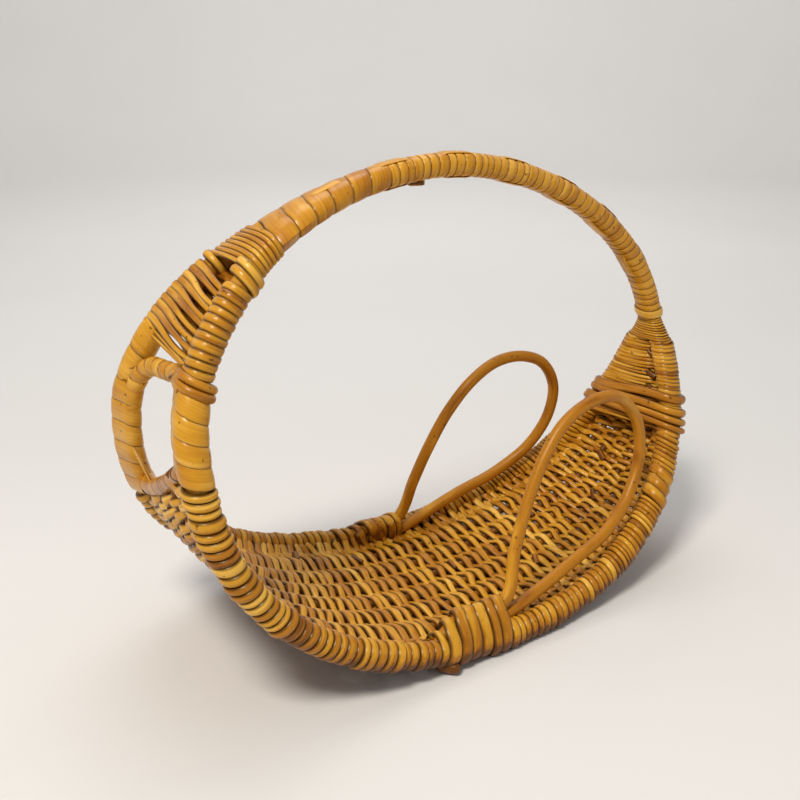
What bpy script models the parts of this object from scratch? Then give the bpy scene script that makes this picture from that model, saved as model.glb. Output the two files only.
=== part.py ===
"""Wicker bottle cradle: two bent hoops that lie together in the handle and spread into a woven trough.

Metres, +Z up. +X points to the end that takes the bottle's base, +Y to the far side, and the
cradle rests on z = 0. Places are given in the hoops' own coordinates: an angle round the hoops
(0 at +X, 90 at the top, 180 at the neck end, 270 at the bottom), y across, and "out", the
distance from the hoops' centre line away from the inside.
"""
from math import cos, pi, radians, sin

import bpy
import numpy as np
from mathutils import Vector

MM = 0.001

# Hoop outline, seen from the side
HOOP_HALF_LENGTH = 132 * MM
HOOP_RISE = 94 * MM
HOOP_DROP = 102 * MM
TOP_SQUARENESS = 1.08
BOTTOM_SQUARENESS = 0.91
HOOP_TILT = radians(-1.8)
HOOP_SHIFT = -0.8 * MM
HOOP_STATIONS = 72

# How the two hoops spread apart below the handle
LEFT_FORK = 105.8
RIGHT_FORK = 369.5
TROUGH_HALF_WIDTH = 57.6 * MM
SPREAD_POWER = 0.94
SPREAD_SKEW = 1.262
HANDLE_HALF_GAP = 2.8 * MM
HANDLE_ROD_RADIUS = 2.55 * MM
RIM_ROD_RADIUS = 4.2 * MM
ROD_TAPER = 0.5

# Woven trough: ribs as shares of the way from the middle to a rim, ends as angles round the hoops
RIB_RADIUS = 1.5 * MM
RIB_PLACES = (-0.61, -0.36, -0.12, 0.12, 0.36, 0.61)
LONG_RIBS = (-0.36, 0.36)
SHORT_RIB_END = 317.2
TIP_REACH = 0.8
LONG_RIB_END = 341
RIB_LEAD = 2
RIB_STATIONS = 20
FLOOR_DISH = 1.6 * MM
BACK_DISH = 8 * MM
BACK_DISH_START = 285
BACK_DISH_FULL = 335
WEAVER_WIDTH = 4.5 * MM
WEAVER_THICKNESS = 1.5 * MM
WEAVE_LIFT = 3.3 * MM
WEAVE_START_NEAR = 187
WEAVE_START_FAR = 207
WEAVE_END = 339.5
WEAVERS = 10
PASSES_PER_WEAVER = 5
TABLE_FLAT = 0.8 * MM
RESTING_WEAVERS = (5, 6, 7)

# Loops that hold the bottle: each leg's place on the rim as (inwards, upwards), and the free part's
# route as (x, distance from the middle plane, z) in millimetres
LOOP_RADIUS = 2.85 * MM
LOWER_LEG = (4.7 * MM, 6.0 * MM)
UPPER_LEG = (4.1 * MM, 12.0 * MM)
LOOP_BOUND_NEAR = (255.3, 275)
LOOP_BOUND_FAR = (261.6, 274.2)
LEG_RISE = 1.6 * MM
LOOP_STATIONS = 36
LOOP_ROUTE = ((24, 47.5, 21), (44, 45, 25), (68, 42.8, 32), (86, 38, 45), (94.5, 34, 61), (93.5, 32.4, 76),
              (85, 32.6, 88), (73, 34.2, 94.5), (59, 35.2, 94.8), (44, 35, 87.5), (32, 36.7, 75),
              (21, 40, 57), (13, 44.5, 37))

# Neck ring between the posts, with its corners as angles round the hoops
RING_RADIUS = 2.6 * MM
RING_TOP_NEAR = 165
RING_TOP_FAR = 166.5
RING_BOTTOM_FAR = 201.5
RING_BOTTOM_NEAR = 182.5
RING_CORNER = 3.2
RING_BAR_SHARE = 0.62

# Handle leaders and wraps
LEADER_WIDTH = 8.4 * MM
LEADER_THICKNESS = 1.2 * MM
LEADER_START = 378
LEADER_END = 482
LEADER_STATIONS = 24
WRAP_THICKNESS = 0.7 * MM
BINDING_THICKNESS = 1.6 * MM
GAP = 0.35 * MM
FORK_SLACK = 0.25 * MM
SIDES_ROUND = 8

GOLDEN = (0.62, 0.36, 0.12)
HONEY = (0.55, 0.29, 0.08)
AMBER = (0.50, 0.22, 0.05)
PALE = (0.70, 0.45, 0.18)
ROUGHNESS = 0.4


def outline(angle):
    """Side view of a hoop: a squared ellipse with its own rise above and drop below."""
    turn = np.radians(angle)
    across = np.cos(turn)
    up = np.sin(turn)
    power = np.where(up >= 0, TOP_SQUARENESS, BOTTOM_SQUARENESS)
    height = np.where(up >= 0, HOOP_RISE, HOOP_DROP)
    x = HOOP_HALF_LENGTH * np.sign(across) * np.abs(across) ** power
    z = height * np.sign(up) * np.abs(up) ** power
    return np.array([x * cos(HOOP_TILT) - z * sin(HOOP_TILT), x * sin(HOOP_TILT) + z * cos(HOOP_TILT)])


ANGLES = np.linspace(0, 720, 7201)
OUTLINE = outline(ANGLES)
LENGTHS = np.concatenate([[0], np.cumsum(np.hypot(*np.diff(OUTLINE)))])
CENTRE_HEIGHT = RIM_ROD_RADIUS + GAP + WEAVER_THICKNESS - TABLE_FLAT - OUTLINE[1].min()


def along(angle, distance):
    """The angle reached by going a distance along the hoop."""
    return float(np.interp(np.interp(angle, ANGLES, LENGTHS) + distance, LENGTHS, ANGLES))


def evenly(start, end, count):
    """Angles from start to end, evenly spaced along the hoop."""
    ends = np.interp([start, end], ANGLES, LENGTHS)
    return [float(angle) for angle in np.interp(np.linspace(*ends, count), LENGTHS, ANGLES)]


def half_width(angle):
    """Distance of each hoop from the middle plane: wide in the trough, side by side in the handle."""
    share = min(((angle - LEFT_FORK) % 360) / (RIGHT_FORK - LEFT_FORK), 1)
    spread = TROUGH_HALF_WIDTH * abs(sin(pi * share ** SPREAD_SKEW)) ** SPREAD_POWER
    return (spread ** 2 + HANDLE_HALF_GAP ** 2) ** 0.5


def hoop_radius(angle):
    """The hoops are shaved thinner where they lie together."""
    return min(HANDLE_ROD_RADIUS + ROD_TAPER * (half_width(angle) - HANDLE_HALF_GAP), RIM_ROD_RADIUS)


def lean(angle):
    """How much a section across the hoops stretches a rod that runs askew to it."""
    drift = half_width(angle + 0.5) - half_width(angle - 0.5)
    run = np.interp(angle + 0.5, ANGLES, LENGTHS) - np.interp(angle - 0.5, ANGLES, LENGTHS)
    return float(np.hypot(1, drift / run))


def place(angle, y, out=0.0):
    """World point at an angle round the hoops, y across and out from their centre line."""
    before, middle, after = outline(np.array([angle - 0.5, angle, angle + 0.5])).T
    along_x, along_z = (after - before) / np.hypot(*(after - before))
    return Vector((middle[0] + along_z * out + HOOP_SHIFT, y, middle[1] - along_x * out + CENTRE_HEIGHT))


def blend(value, start, end):
    """Smooth step from 0 at start to 1 at end."""
    share = min(max((value - start) / (end - start), 0), 1)
    return share * share * (3 - 2 * share)


def dish(angle, share):
    """How far the woven sheet hangs outside the plane of the rims."""
    depth = FLOOR_DISH + (BACK_DISH - FLOOR_DISH) * blend(angle, BACK_DISH_START, BACK_DISH_FULL)
    return depth * (1 - share * share)


def start_scene():
    """Empty the scene."""
    for old in list(bpy.data.objects):
        bpy.data.objects.remove(old, do_unlink=True)


def new_collection(name):
    """Make a collection in the scene."""
    collection = bpy.data.collections.new(name)
    bpy.context.scene.collection.children.link(collection)
    return collection


def make_table_cutter():
    """Block under the table plane, which flattens the strands that the cradle rests on."""
    size = 2 * HOOP_HALF_LENGTH
    bpy.ops.mesh.primitive_cube_add(size=size, location=(0, 0, -size / 2))
    cutter = bpy.context.object
    cutter.name = "table_cutter"
    for collection in cutter.users_collection:
        collection.objects.unlink(cutter)
    new_collection("cutters").objects.link(cutter)
    cutter.hide_render = True
    cutter.display_type = "WIRE"
    return cutter


def cut_flat(thing, cutter):
    """Cut off what reaches below the table plane."""
    cut = thing.modifiers.new("table_flat", "BOOLEAN")
    cut.operation = "DIFFERENCE"
    cut.solver = "EXACT"
    cut.object = cutter


def paint(thing, colour):
    """Give an object its own Principled material."""
    material = bpy.data.materials.new(thing.name)
    material.use_nodes = True
    shader = material.node_tree.nodes["Principled BSDF"]
    shader.inputs["Base Color"].default_value = (*colour, 1)
    shader.inputs["Roughness"].default_value = ROUGHNESS
    shader.inputs["Metallic"].default_value = 0
    thing.data.materials.append(material)


def rod(name, points, radius, colour, closed=False, radii=None):
    """Round rod through points; radii, if given, are shares of the radius at each point."""
    curve = bpy.data.curves.new(name, "CURVE")
    curve.dimensions = "3D"
    curve.bevel_depth = radius
    curve.bevel_resolution = 1
    curve.use_fill_caps = not closed
    spline = curve.splines.new("POLY")
    spline.points.add(len(points) - 1)
    spline.use_cyclic_u = closed
    spline.use_smooth = True
    for index, point in enumerate(points):
        spline.points[index].co = (*point, 1)
        spline.points[index].radius = radii[index] if radii else 1
    thing = bpy.data.objects.new(name, curve)
    CRADLE.objects.link(thing)
    paint(thing, colour)
    return thing


def strip(name, stations, width, thickness, colour):
    """Flat strip laid through stations, each an angle and a function from an angle to (y, out)."""
    corners = []
    for angle, find in stations:
        for side in (-0.5, 0.5):
            edge_angle = along(angle, side * width)
            corners.append(place(edge_angle, *find(edge_angle)))
    return solid_sheet(name, corners, thickness, colour)


def solid_sheet(name, corners, thickness, colour):
    """Ribbon from pairs of corners, thickened evenly to both sides."""
    faces = [(2 * i, 2 * i + 1, 2 * i + 3, 2 * i + 2) for i in range(len(corners) // 2 - 1)]
    mesh = bpy.data.meshes.new(name)
    mesh.from_pydata(corners, [], faces)
    thing = bpy.data.objects.new(name, mesh)
    CRADLE.objects.link(thing)
    thicken = thing.modifiers.new("thickness", "SOLIDIFY")
    thicken.thickness = thickness
    thicken.offset = 0
    thicken.use_even_offset = True
    paint(thing, colour)
    return thing


def wrap_corner(circles, eighth, lift):
    """Corner of a taut eight-sided turn round circles (y, out, radius), between two directions."""
    reaches = []
    for turn in (eighth, eighth + 1):
        direction = (cos(2 * pi * turn / SIDES_ROUND), sin(2 * pi * turn / SIDES_ROUND))
        reach = max(y * direction[0] + out * direction[1] + radius for y, out, radius in circles)
        reaches.append((*direction, reach + lift))
    (ax, ay, ar), (bx, by, br) = reaches
    cross = ax * by - ay * bx
    return (ar * by - br * ay) / cross, (ax * br - bx * ar) / cross


def rim_circle(angle, side):
    """The hoop's section at the rim."""
    return side * half_width(angle), 0.0, hoop_radius(angle) * lean(angle)


def leg_circle(angle, side, leg):
    """Section of a loop's leg bound on the rim."""
    inwards, upwards = leg
    return side * (half_width(angle) - inwards), -upwards, LOOP_RADIUS


def ring_leg(angle, side):
    """Section of the neck ring where it lies against a post."""
    inwards = RIM_ROD_RADIUS + GAP + RING_RADIUS
    return side * (half_width(angle) - inwards), 0.0, RING_RADIUS


def turn_stations(side, low_angle, high_angle, bundle_at, lift):
    """A weaver's turn round the rim, from under it to over it, and down the inner side of bound legs."""
    first, step = (1, 1) if side < 0 else (2, -1)
    shifts = [0, 0, 1 / 3, 2 / 3, 1, 1]
    if len(bundle_at(low_angle, side, high_angle)) > 1:
        shifts += [1, 1]
    stations = []
    for index, shift in enumerate(shifts):
        eighth = (first + step * index) % SIDES_ROUND
        angle = low_angle + (high_angle - low_angle) * shift

        def corner(edge_angle, eighth=eighth):
            return wrap_corner(bundle_at(edge_angle, side, high_angle), eighth, lift)

        stations.append((angle, corner))
    return stations


def rib_station(angle, share, over):
    """Where a weaver goes over (inside) or under (outside) a rib."""
    def find(edge_angle):
        lift = -WEAVE_LIFT if over else WEAVE_LIFT
        return share * half_width(edge_angle), dish(edge_angle, share) + lift

    return angle, find


def pass_ends(count, near_start, far_start, near_end, far_end):
    """Angle of each pass at the near and at the far rim."""
    return list(zip(evenly(near_start, near_end, count), evenly(far_start, far_end, count)))


def woven_stations(ends, first, last, ribs_at, bundle_at, thickness):
    """Stations of one strand that goes to and fro between the rims, passes first to last."""
    stations = []
    lift = GAP + thickness / 2
    for index in range(first, last + 1):
        near_angle, far_angle = ends[index]
        ribs = ribs_at(max(near_angle, far_angle))
        outward = index % 2 == 0
        crossing = []
        for order, share in enumerate(ribs, start=1):
            angle = near_angle + (far_angle - near_angle) * (share + 1) / 2
            crossing.append(rib_station(angle, share, (order + index) % 2 == 0))
        stations.extend(crossing if outward else crossing[::-1])
        if index < last:
            side = 1 if outward else -1
            column = 1 if outward else 0
            low, high = ends[index][column], ends[index + 1][column]
            stations.extend(turn_stations(side, low, high, bundle_at, lift))
    return stations


def bundle_strip(name, start, end, pitch, width, thickness, circles_at, colour):
    """Strip wound in a helix round a bundle of rods."""
    length = np.interp(end, ANGLES, LENGTHS) - np.interp(start, ANGLES, LENGTHS)
    count = int(length / pitch * SIDES_ROUND) + 1
    stations = []
    for index, angle in enumerate(evenly(start, end, count)):
        def corner(edge_angle, index=index):
            return wrap_corner(circles_at(edge_angle), index % SIDES_ROUND, GAP + thickness / 2)

        stations.append((angle, corner))
    return strip(name, stations, width, thickness, colour)


def make_hoop(name, side):
    """One full hoop: half of the handle, a post and one rim of the trough."""
    angles = evenly(0, 360, HOOP_STATIONS + 1)[:-1]
    points = [place(angle, side * half_width(angle)) for angle in angles]
    radii = [hoop_radius(angle) / RIM_ROD_RADIUS for angle in angles]
    rod(name, points, RIM_ROD_RADIUS, AMBER, closed=True, radii=radii)


def make_rib(name, share):
    """Rod that runs the length of the trough between the rims."""
    start = WEAVE_START_NEAR + (WEAVE_START_FAR - WEAVE_START_NEAR) * (share + 1) / 2 - RIB_LEAD
    end = LONG_RIB_END if share in LONG_RIBS else SHORT_RIB_END
    angles = evenly(start, end, RIB_STATIONS)
    rod(name, [place(a, share * half_width(a), dish(a, share)) for a in angles], RIB_RADIUS, HONEY)


def no_ribs(angle):
    """The fork webs have no ribs in them."""
    return ()


def ribs_woven(angle):
    """The ribs that a weaver meets: near the fork only the long ones are left."""
    return RIB_PLACES if angle < SHORT_RIB_END + TIP_REACH else LONG_RIBS


def bare_rim(angle, side, turn_angle):
    """A turn that goes round the hoop alone."""
    return [rim_circle(angle, side)]


def rim_bundle(angle, side, turn_angle):
    """What a weaver's turn goes round: the hoop, and the loop's legs where they are bound."""
    start, end = LOOP_BOUND_NEAR if side < 0 else LOOP_BOUND_FAR
    circles = [rim_circle(angle, side)]
    if start < turn_angle < end:
        circles += [leg_circle(angle, side, LOWER_LEG), leg_circle(angle, side, UPPER_LEG)]
    return circles


def make_weavers():
    """Strands woven across the trough, each turning round both rims."""
    total = WEAVERS * PASSES_PER_WEAVER
    ends = pass_ends(total, WEAVE_START_NEAR, WEAVE_START_FAR, WEAVE_END, WEAVE_END)
    for number in range(WEAVERS):
        first = number * PASSES_PER_WEAVER
        last = first + PASSES_PER_WEAVER - 1
        stations = woven_stations(ends, first, last, ribs_woven, rim_bundle, WEAVER_THICKNESS)
        colour = (GOLDEN, HONEY, PALE)[number % 3]
        weaver = strip(f"weaver_{number + 1:02d}", stations, WEAVER_WIDTH, WEAVER_THICKNESS, colour)
        if number + 1 in RESTING_WEAVERS:
            cut_flat(weaver, CUTTER)


def smooth_route(anchors, count):
    """Points along a Catmull-Rom curve through the anchors."""
    knots = [Vector(anchor) for anchor in anchors]
    knots = [2 * knots[0] - knots[1]] + knots + [2 * knots[-1] - knots[-2]]
    points = []
    for step in np.linspace(0, len(anchors) - 1, count):
        index = min(int(step), len(anchors) - 2)
        t = step - index
        a, b, c, d = knots[index:index + 4]
        points.append(0.5 * (2 * b + (c - a) * t + (2 * a - 5 * b + 4 * c - d) * t ** 2
                             + (3 * b - a - 3 * c + d) * t ** 3))
    return points


def make_loop(name, side, bound_part):
    """Rattan loop: lower leg off the rim, round the top, and back down into the binding."""
    def on_rim(angle, leg, rise=0):
        y, out, _ = leg_circle(angle, side, leg)
        return place(angle, y, out - rise)

    bound = evenly(*bound_part, 5)
    leaving = along(bound_part[1], LOOP_RADIUS)
    route = [on_rim(angle, LOWER_LEG) for angle in bound] + [on_rim(leaving, LOWER_LEG, LEG_RISE)]
    route += [Vector((x, side * y, z)) * MM for x, y, z in LOOP_ROUTE]
    route += [on_rim(leaving, UPPER_LEG, 2 * LEG_RISE)] + [on_rim(angle, UPPER_LEG) for angle in bound[::-1]]
    rod(name, smooth_route(route, LOOP_STATIONS), LOOP_RADIUS, AMBER)


def ring_place(angle, share):
    """Point in the sheet between the ring's two legs."""
    reach = ring_leg(angle, 1)[0]
    return place(angle, share * reach)


def make_neck_ring():
    """Rounded ring between the posts: two legs against the posts, a top bar and a slanting bottom bar."""
    corners = [(RING_TOP_NEAR, -1, 1), (RING_TOP_FAR, 1, 1)]
    corners += [(RING_BOTTOM_FAR, 1, -1), (RING_BOTTOM_NEAR, -1, -1)]
    points = []
    for index, (angle, share, down) in enumerate(corners):
        leg_end = (angle + down * RING_CORNER, share)
        other = corners[(index + 1) % 4] if index in (0, 2) else corners[index - 1]
        mix = (1 - RING_BAR_SHARE) / 2
        bar_end = (angle + (other[0] - angle) * mix, share * RING_BAR_SHARE)
        start, finish = (leg_end, bar_end) if index in (0, 2) else (bar_end, leg_end)
        for t in (0, 0.25, 0.5, 0.75, 1):
            weights = ((1 - t) ** 2, 2 * t * (1 - t), t ** 2)
            knots = (start, (angle, share), finish)
            where = [sum(weight * knot[axis] for weight, knot in zip(weights, knots)) for axis in (0, 1)]
            points.append(ring_place(*where))
        if index in (1, 3):
            following = corners[(index + 1) % 4]
            leg = np.linspace(leg_end[0], following[0] + following[2] * RING_CORNER, 6)[1:-1]
            points += [ring_place(where, share) for where in leg]
    rod("neck_ring", points, RING_RADIUS, HONEY, closed=True)


def leader_level(angle):
    """Height of a leader's middle above the centre line of the rods that it lies on."""
    return hoop_radius(angle) * lean(angle) + GAP + LEADER_THICKNESS / 2


def make_leader(name, direction):
    """Lengthwise strip laid on the handle's rods, outside (1) or inside (-1)."""
    corners = []
    for angle in evenly(LEADER_START, LEADER_END, LEADER_STATIONS):
        out = direction * leader_level(angle)
        corners += [place(angle, -LEADER_WIDTH / 2, out), place(angle, LEADER_WIDTH / 2, out)]
    solid_sheet(name, corners, LEADER_THICKNESS, PALE)


def handle_bundle(angle):
    """Both rods of the handle and the corners of the leaders on them."""
    edge = (LEADER_WIDTH - LEADER_THICKNESS) / 2
    out = leader_level(angle)
    leaders = [(sign * edge, level, LEADER_THICKNESS / 2) for sign in (-1, 1) for level in (-out, out)]
    return both_rods(angle) + leaders


def both_rods(angle):
    """The two hoops' sections."""
    return [rim_circle(angle, -1), rim_circle(angle, 1)]


def fork_rods(angle):
    """The two hoops' sections in a fork, with slack for how fast they come together."""
    return [(y, out, radius + FORK_SLACK) for y, out, radius in both_rods(angle)]


def post_bundle(side):
    """A post and the neck ring's leg beside it."""
    return lambda angle: [rim_circle(angle, side), ring_leg(angle, side)]


def make_wraps():
    """Strips wound round the handle, the forks and the posts."""
    bundle_strip("handle_wrap_right", 372.8, 465.5, 10.6 * MM, 9.8 * MM, WRAP_THICKNESS, handle_bundle,
                 GOLDEN)
    bundle_strip("handle_wrap_left", 470.8, 488, 11 * MM, 10.2 * MM, WRAP_THICKNESS, handle_bundle, HONEY)
    bundle_strip("left_fork_wrap", 491.8, 500.5, 4.2 * MM, 3.4 * MM, BINDING_THICKNESS, fork_rods, GOLDEN)
    bundle_strip("right_fork_wrap", 362.8, 368.6, 3.8 * MM, 3.1 * MM, BINDING_THICKNESS, fork_rods, GOLDEN)
    bundle_strip("thick_wrap", 343.2, 348.6, 5.2 * MM, 4.2 * MM, 2.4 * MM, both_rods, AMBER)
    bundle_strip("near_post_wrap", 170.3, 177.5, 8.6 * MM, 7.9 * MM, WRAP_THICKNESS, post_bundle(-1), PALE)
    bundle_strip("far_post_wrap", 172.5, 195.5, 9 * MM, 8.2 * MM, WRAP_THICKNESS, post_bundle(1), PALE)


def make_fork_web(name, near_start, near_end, far_end, count, width, colour):
    """Strand woven in figures of eight between the two hoops in a fork."""
    ends = pass_ends(count, near_start, near_start, near_end, far_end)
    stations = woven_stations(ends, 0, count - 1, no_ribs, bare_rim, BINDING_THICKNESS)
    strip(name, stations, width, BINDING_THICKNESS, colour)


def make_cradle():
    """Make every piece of the cradle."""
    make_hoop("hoop_near", -1)
    make_hoop("hoop_far", 1)
    for number, share in enumerate(RIB_PLACES, start=1):
        make_rib(f"rib_{number}", share)
    make_weavers()
    make_fork_web("left_fork_web", 143.5, 161, 157, 10, 3.4 * MM, HONEY)
    make_fork_web("right_fork_web", 350.6, 361.2, 361.2, 6, 3.4 * MM, HONEY)
    make_neck_ring()
    make_loop("loop_near", -1, LOOP_BOUND_NEAR)
    make_loop("loop_far", 1, LOOP_BOUND_FAR)
    make_leader("handle_leader_top", 1)
    make_leader("handle_leader_under", -1)
    make_wraps()


start_scene()
CRADLE = new_collection("wicker_bottle_cradle")
CUTTER = make_table_cutter()
make_cradle()
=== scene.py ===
"""Finished look of the wicker bottle cradle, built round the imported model.

Strands are laid in the hoops' own coordinates, as in the CAD: an angle round the hoops (0 at +X,
90 at the top, 180 at the neck end, 270 at the bottom, and past 360 on over the handle), y across,
and "out", the distance from the hoops' centre line away from the inside. A side is -1 for near (-Y)
or 1 for far. Each strand is a swept solid with its own tone, from 0, pale, to 1, dark.
"""
from math import cos, pi, radians, sin

import bpy
import numpy as np
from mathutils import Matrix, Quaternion, Vector


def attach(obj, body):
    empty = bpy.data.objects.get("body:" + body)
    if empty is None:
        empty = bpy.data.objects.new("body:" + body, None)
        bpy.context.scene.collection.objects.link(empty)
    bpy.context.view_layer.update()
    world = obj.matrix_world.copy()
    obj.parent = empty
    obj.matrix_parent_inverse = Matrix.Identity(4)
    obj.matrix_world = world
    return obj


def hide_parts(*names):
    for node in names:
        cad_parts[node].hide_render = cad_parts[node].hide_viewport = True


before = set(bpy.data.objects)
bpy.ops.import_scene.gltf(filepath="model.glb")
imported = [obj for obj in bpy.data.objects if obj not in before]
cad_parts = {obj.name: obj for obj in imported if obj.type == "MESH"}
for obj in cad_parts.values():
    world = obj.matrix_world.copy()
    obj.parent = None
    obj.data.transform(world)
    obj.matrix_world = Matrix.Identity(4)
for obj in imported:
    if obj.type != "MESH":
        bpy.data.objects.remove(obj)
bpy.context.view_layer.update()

MM = 0.001
rng = np.random.default_rng(11)

# Hoops, as in the CAD
HOOP_HALF_LENGTH = 132 * MM
HOOP_RISE = 94 * MM
HOOP_DROP = 102 * MM
TOP_SQUARENESS = 1.08
BOTTOM_SQUARENESS = 0.91
HOOP_TILT = radians(-1.8)
HOOP_SHIFT = -0.8 * MM
LOWEST_CENTRE = 5.25 * MM
LEFT_FORK = 105.8
RIGHT_FORK = 369.5
TROUGH_HALF_WIDTH = 57.6 * MM
SPREAD_POWER = 0.94
SPREAD_SKEW = 1.262
HANDLE_HALF_GAP = 2.8 * MM
HANDLE_ROD_RADIUS = 2.55 * MM
RIM_ROD_RADIUS = 4.3 * MM
ROD_TAPER = 0.25
PINCHES = ((133, 10, 0.2), (363, 6, 0.1))  # near the forks: angle, reach in degrees, share of the width
HOOP_STEPS = 240

# Woven trough
RIBS = (-0.61, -0.36, -0.12, 0.12, 0.36, 0.61)
LONG_RIBS = (-0.36, 0.36)
RIB_RADIUS = 1.7 * MM
SHORT_RIB_END = 340.5
LONG_RIB_END = 341
WEAVERS = 10
PASSES = 132
NEAR_START = 184.6
FAR_START = 205.5
SKEW_END = 268
WEAVE_END = 342
FLOOR_DISH = 1.6 * MM
BACK_DISH = 8 * MM
BACK_DISH_START = 285
BACK_DISH_FULL = 335

# Strands of the trough
FINER_START = 285
FINER_FULL = 325
FINER_BY = 0.3
LIFT = 2.2 * MM  # of a strand off the sheet where it crosses a rib
STRAND_THICK = 2.2 * MM
UNDER_WIDTH = 0.96  # width under a rib, against the strand's own
GAP_WIDTH = 3.6 * MM  # width between two ribs
RIM_GAP_WIDTH = 4.6 * MM
BESIDE_RIM = 0.8
DRIFT_MM = 0.48
RIM_TURN_PAST = 18  # degrees past a whole turn at each end of a rim's turn
RIM_TURN_SINK = -0.75 * MM
THIN_BAND = 2.2 * MM
TURN_OVERLAP = 1.06

# Stubs of cut strands: angle, share of the way across, turn in degrees, size in mm
CUT_ENDS = ((326, 0.25, 25, 3.4), (334, 0.85, -20, 3.0), (315, -0.1, 40, 2.8), (301, 0.3, 0, 3.0),
            (290, -0.35, 30, 3.2), (249, 0.7, 15, 3.4), (262, 0.56, -25, 2.6), (226, 0.2, 20, 2.6),
            (276, 0.1, 5, 2.6))
CUT_HALF_LENGTH = 3.2 * MM

# Handle
HANDLE_START = 369.8
HANDLE_WIDE_START = 465.5
HANDLE_END = 491.8
BAND_THICK = 0.8 * MM
CORE_SIDE_COVER = 0.35 * MM
CORE_HALF_HEIGHT = 4.45 * MM
CORE_TOP_COVER = 0.4 * MM
OVAL_POWER = 2.5
NUB_AT = 458.5
LEADER_START = 386
LEADER_END = 482
LEADER_WAVE = 31 * MM

# Forks
LEFT_WEB_TURNS = 11
RIGHT_WEB_TURNS = 25
THICK_SWEEP = (-70, 290)  # directions where a thick strand starts and ends
THICK_LIFT = 2.4 * MM
THICK_STRANDS = ((348.3, 345.9, 4.4, 0.45), (345.0, 344.1, 4.1, 0.3), (342.7, 341.4, 3.6, 0.4),
                 (340.7, 340.4, 3.0, 0.5))  # near angle, far angle, width in mm, tone

# Loops: each leg's way in and up from the rim's centre, where it is bound, and its free route in mm
LOOP_RADIUS = 2.85 * MM
LOWER_LEG = {-1: (5.5 * MM, 5.4 * MM), 1: (7.0 * MM, 1.8 * MM)}
UPPER_LEG = {-1: (6.2 * MM, 11.2 * MM), 1: (7.0 * MM, 7.6 * MM)}
LEG_RISE_START, LEG_RISE_END = -1, 9  # degrees past the start of the binding
LEG_INSET = 0.3  # share of the way in that a leg starts at
LOOP_BOUND = {-1: (254.0, 270.6), 1: (261.0, 273.7)}
LOOP_ROUTE = {
    -1: ((44, 45, 21.5), (68, 42.8, 31), (86, 38, 45), (94.5, 34, 61), (93.5, 32.4, 76), (85, 32.6, 88),
         (73, 34.2, 94.5), (59, 35.2, 94.8), (44, 35, 87.5), (32, 36.7, 75), (20, 40, 56), (10, 44.5, 36)),
    1: ((44, 45, 22), (68, 42.8, 29.8), (87, 38, 43.8), (95.5, 34, 61), (96, 32.4, 77), (87, 32.6, 91),
        (74, 34.2, 95.8), (60, 35.2, 95), (44, 35, 87.5), (32, 36.7, 74.5), (21, 40, 54), (15, 43.5, 37))}
# The near loop's end, which comes out under the rim: in mm, and its thickness along it
TAIL_START, TAIL_END = (-40, -57, 3.2), (-33.2, -64.2, 3.0)
TAIL_GIRTH = (0.8, 0.9, 0.95, 0.92, 0.8)

# Neck ring: corners of (angle, share across, degrees of leg in the bend, share where the bar is straight)
RING_RADIUS = 2.6 * MM
RING_GAP = 0.3 * MM
RING_CORNERS = ((163.4, -1, 3.4, 0.62), (166.5, 1, 8.5, 0.42), (201.5, 1, -7.0, 0.45),
                (182.5, -1, -3.4, 0.62))
RING_BOTTOM_NEAR = RING_CORNERS[3][0]
RING_TOP_COIL = slice(4, 24)  # points of the ring's path that each coil covers
RING_BOTTOM_COIL = slice(30, 47)
COIL_LIFT = 0.1 * MM

# Strips on the posts: name, side, start, end, pitch, lift off the post, tone
POST_STRIPS = (("near", -1, 165.9, 184.6, 8.0 * MM, 1.2 * MM, 0.18),
               ("far", 1, 173.6, 203.0, 9.0 * MM, 0.6 * MM, 0.33))
# Strips laid over the ring's upper near corner: both ends as (angle, share across, out in mm)
LASHINGS = (((162.9, -0.98, 7.0), (166.0, -0.5, 2.0)), ((165.6, -1.0, 6.8), (163.0, -0.46, 2.0)),
            ((162.4, -0.8, 6.2), (165.2, -0.3, 2.0)))


# ---------------------------------------------------------------- hoop coordinates

def outline(angle):
    """Side view of a hoop: a squared ellipse with its own rise above and drop below."""
    turn = np.radians(angle)
    across, up = np.cos(turn), np.sin(turn)
    power = np.where(up >= 0, TOP_SQUARENESS, BOTTOM_SQUARENESS)
    height = np.where(up >= 0, HOOP_RISE, HOOP_DROP)
    x = HOOP_HALF_LENGTH * np.sign(across) * np.abs(across) ** power
    z = height * np.sign(up) * np.abs(up) ** power
    return np.array([x * cos(HOOP_TILT) - z * sin(HOOP_TILT), x * sin(HOOP_TILT) + z * cos(HOOP_TILT)])


ANGLES = np.linspace(0, 720, 7201)
OUTLINE = outline(ANGLES)
LENGTHS = np.concatenate([[0], np.cumsum(np.hypot(*np.diff(OUTLINE)))])
CENTRE_HEIGHT = LOWEST_CENTRE - OUTLINE[1].min()
NUDGE = 0.5  # degrees either side of an angle for a slope


def length_at(angle):
    """Distance along the hoop at an angle."""
    return np.interp(angle, ANGLES, LENGTHS)


def angle_at(length):
    """The angle at a distance along the hoop."""
    return np.interp(length, LENGTHS, ANGLES)


def evenly(start, end, count):
    """Angles from start to end, evenly spaced along the hoop."""
    return angle_at(np.linspace(length_at(start), length_at(end), count))


def half_width(angle):
    """Distance of each hoop from the middle plane."""
    share = np.minimum(((angle - LEFT_FORK) % 360) / (RIGHT_FORK - LEFT_FORK), 1)
    spread = TROUGH_HALF_WIDTH * np.abs(np.sin(pi * share ** SPREAD_SKEW)) ** SPREAD_POWER
    for centre, reach, depth in PINCHES:
        spread = spread * (1 - depth * np.exp(-(((angle - centre + 180) % 360 - 180) / reach) ** 2))
    return np.sqrt(spread ** 2 + HANDLE_HALF_GAP ** 2)


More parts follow.
